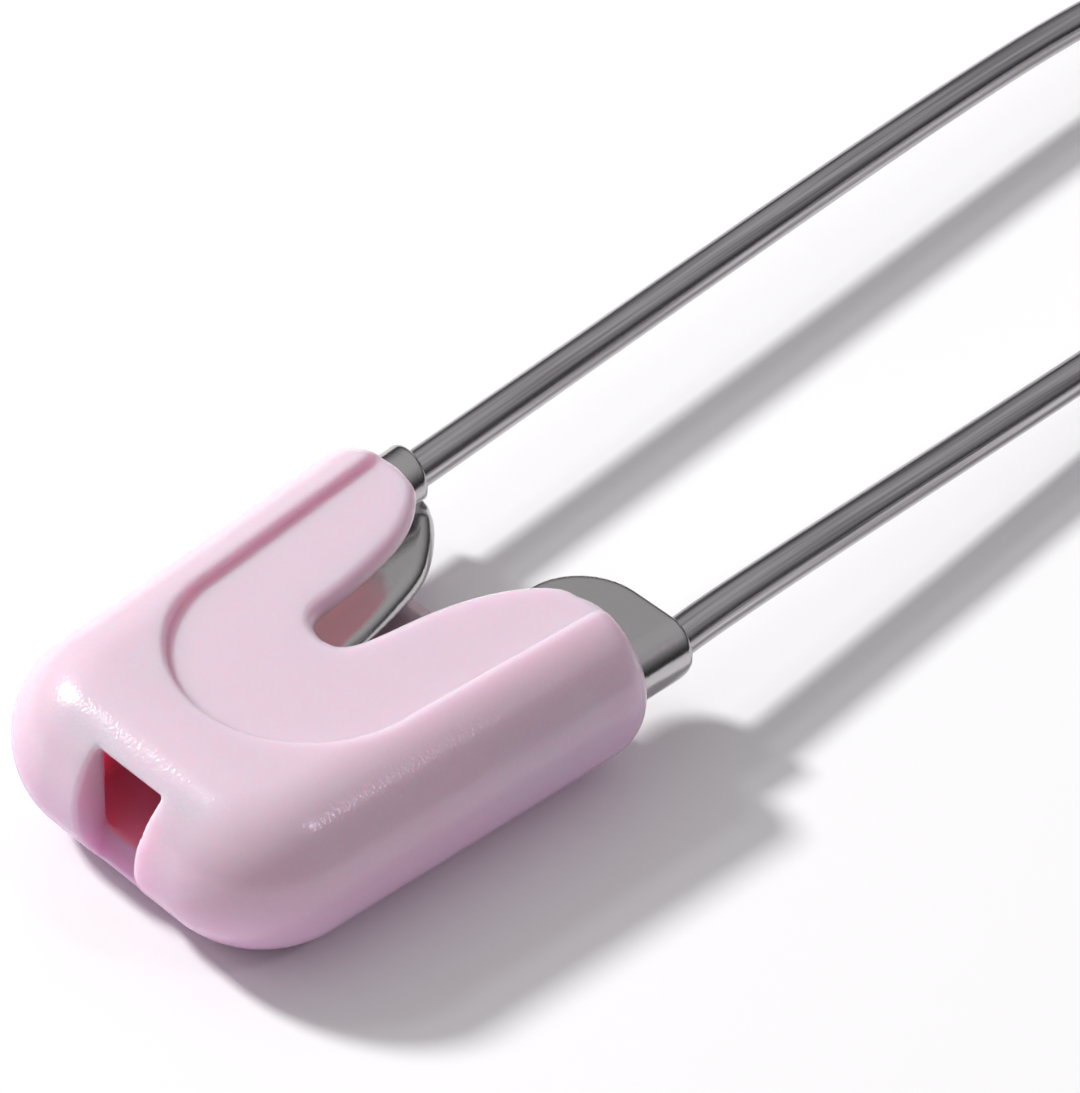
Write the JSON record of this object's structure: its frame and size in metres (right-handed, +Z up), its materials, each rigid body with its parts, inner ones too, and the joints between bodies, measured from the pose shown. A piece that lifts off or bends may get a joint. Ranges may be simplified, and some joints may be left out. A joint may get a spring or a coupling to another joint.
{
  "type": "safety pin",
  "caption": "Locking safety pin: one bent spring wire with a coil and a sharpened arm, a folded metal catch and a sliding plastic safety cover.",
  "frame": {"origin": "centre of the bounding box at the surface that the closed pin lies on", "axes": "+Y along the pin from the cover's nose to the coil, +X across it to the sharpened arm, +Z up from the surface it lies on"},
  "size_m": [0.0117, 0.055, 0.0045],
  "materials": {
    "cover_plastic": "glossy pale pink moulding",
    "catch_metal": "bright nickel on sheet steel",
    "spring_steel": "drawn wire with streaks along it"
  },
  "bodies": {
    "spine": {"spine_wire": "spring_steel", "catch": "catch_metal", "spring_coil": "spring_steel"},
    "pin_arm": {"pin_arm": "spring_steel"},
    "cover": {"safety_cover": "cover_plastic"}
  },
  "joints": [
    {"name": "arm_swing", "type": "hinge", "parent": "spine", "child": "pin_arm", "pos_m": [0, 0.0244, 0.0005], "axis": [0, 0, 1], "range_deg": [-4, 38], "stiffness_Nm_per_rad": 0.004, "deforming": ["spring_coil"]},
    {"name": "cover_slide", "type": "slide", "parent": "spine", "child": "cover", "axis": [0, -1, 0], "range_m": [0, 0.00317]}
  ]
}
